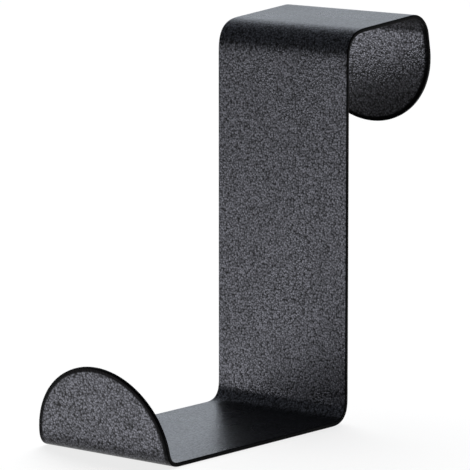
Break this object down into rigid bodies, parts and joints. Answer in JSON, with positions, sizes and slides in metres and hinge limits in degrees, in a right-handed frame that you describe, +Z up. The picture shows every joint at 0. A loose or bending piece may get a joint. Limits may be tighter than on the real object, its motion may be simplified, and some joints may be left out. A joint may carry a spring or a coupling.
{
  "type": "over-door hook",
  "caption": "Over-door hook folded from a strip of sheet steel: a half-round tab drops behind the door, and a deep flat hook with a half-round upturned end stands in front. Black paint.",
  "frame": {"origin": "under the top plate, where it lies over the top edge of the door: midway along the plate's flat stretch and across the strip", "axes": "+X across the strip, +Y from the front of the door to its back, +Z up"},
  "size_m": [0.03, 0.0799, 0.0731],
  "materials": {
    "powder_coat": "black powder coat with a fine sandy texture, satin"
  },
  "bodies": {
    "root": {"door_hook": "powder_coat"}
  },
  "joints": []
}
